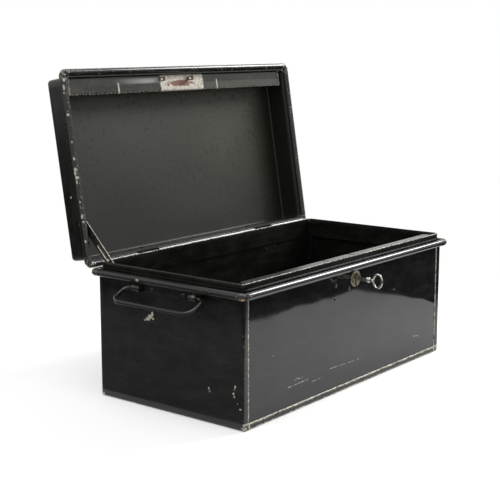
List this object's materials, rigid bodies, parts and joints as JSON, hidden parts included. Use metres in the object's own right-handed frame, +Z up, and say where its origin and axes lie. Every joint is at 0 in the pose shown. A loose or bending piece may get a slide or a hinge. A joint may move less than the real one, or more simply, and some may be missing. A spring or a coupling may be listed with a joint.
{
  "type": "metal trunk",
  "caption": "Rectangular sheet-steel trunk with rolled rims, a tray-shaped lid held open by a stay, wire bail handles, and a lock with its key in place.",
  "frame": {"origin": "centre of the underside of the box", "axes": "+X along the length to the right of a person facing the lock, -Y towards the lock's side, +Z up"},
  "size_m": [0.4632, 0.3153, 0.3622],
  "materials": {
    "japanned_steel": "black japan, satin, worn at the edges",
    "bare_steel": "bare steel, dull, rust-stained",
    "steel_wire": "drawn wire",
    "lock_steel": "plain steel, dull",
    "key_steel": "tarnished steel",
    "brass": "aged brass, satin"
  },
  "bodies": {
    "body": {"wrapper": "japanned_steel", "front_panel": "japanned_steel", "back_panel": "japanned_steel", "neck": "japanned_steel", "rim_bead": "japanned_steel", "rim_wire": "steel_wire", "lock_deck": "japanned_steel", "hinge_leaves_body": "japanned_steel", "hinge_pins": "steel_wire", "hinge_rivets_body": "japanned_steel", "stay_stud": "bare_steel", "lock_case": "lock_steel", "lock_cover": "lock_steel", "lock_cover_screws": "lock_steel", "lock_rivets": "japanned_steel", "guide_pins": "lock_steel", "detent_spring": "lock_steel", "escutcheon": "brass", "escutcheon_pins": "brass", "left_handle_plate": "japanned_steel", "left_handle_clips": "japanned_steel", "left_handle_rivets": "japanned_steel", "right_handle_plate": "japanned_steel", "right_handle_clips": "japanned_steel", "right_handle_rivets": "japanned_steel"},
    "lid": {"lid_panel": "japanned_steel", "lid_skirt": "japanned_steel", "lid_rim": "japanned_steel", "lid_wire": "steel_wire", "hinge_leaves_lid": "japanned_steel", "hinge_rivets_lid": "japanned_steel", "catch_strip": "japanned_steel", "catch_staples": "bare_steel", "catch_rivets": "japanned_steel", "stay_rivet": "bare_steel"},
    "stay": {"stay_strip": "bare_steel"},
    "bolt": {"bolt": "lock_steel"},
    "key": {"key": "key_steel"},
    "left_handle": {"left_handle": "japanned_steel"},
    "right_handle": {"right_handle": "japanned_steel"}
  },
  "joints": [
    {"name": "lid_hinge", "type": "hinge", "parent": "body", "child": "lid", "pos_m": [0, 0.1092, 0.1462], "axis": [1, 0, 0], "range_deg": [0, 99.2]},
    {"name": "stay_pivot", "type": "hinge", "parent": "lid", "child": "stay", "pos_m": [-0.19485, 0.12793, 0.19179], "axis": [1, 0, 0], "range_deg": [-49.6, 0]},
    {"name": "key_turn", "type": "hinge", "parent": "body", "child": "key", "pos_m": [0.005, -0.101, 0.127], "axis": [0, -1, 0], "range_deg": [0, 90]},
    {"name": "bolt_slide", "type": "slide", "parent": "body", "child": "bolt", "axis": [1, 0, 0], "range_m": [0, 0.007]},
    {"name": "left_handle_swing", "type": "hinge", "parent": "body", "child": "left_handle", "pos_m": [-0.20475, 0, 0.1325], "axis": [0, 1, 0], "range_deg": [-68, 73]},
    {"name": "right_handle_swing", "type": "hinge", "parent": "body", "child": "right_handle", "pos_m": [0.20475, 0, 0.1325], "axis": [0, 1, 0], "range_deg": [-73, 68]}
  ],
  "couplings": [
    {"joint": "stay_pivot", "follows": "lid_hinge", "ratio": -0.5},
    {"joint": "key_turn", "follows": "bolt_slide", "rad_per_m": 224.39}
  ]
}
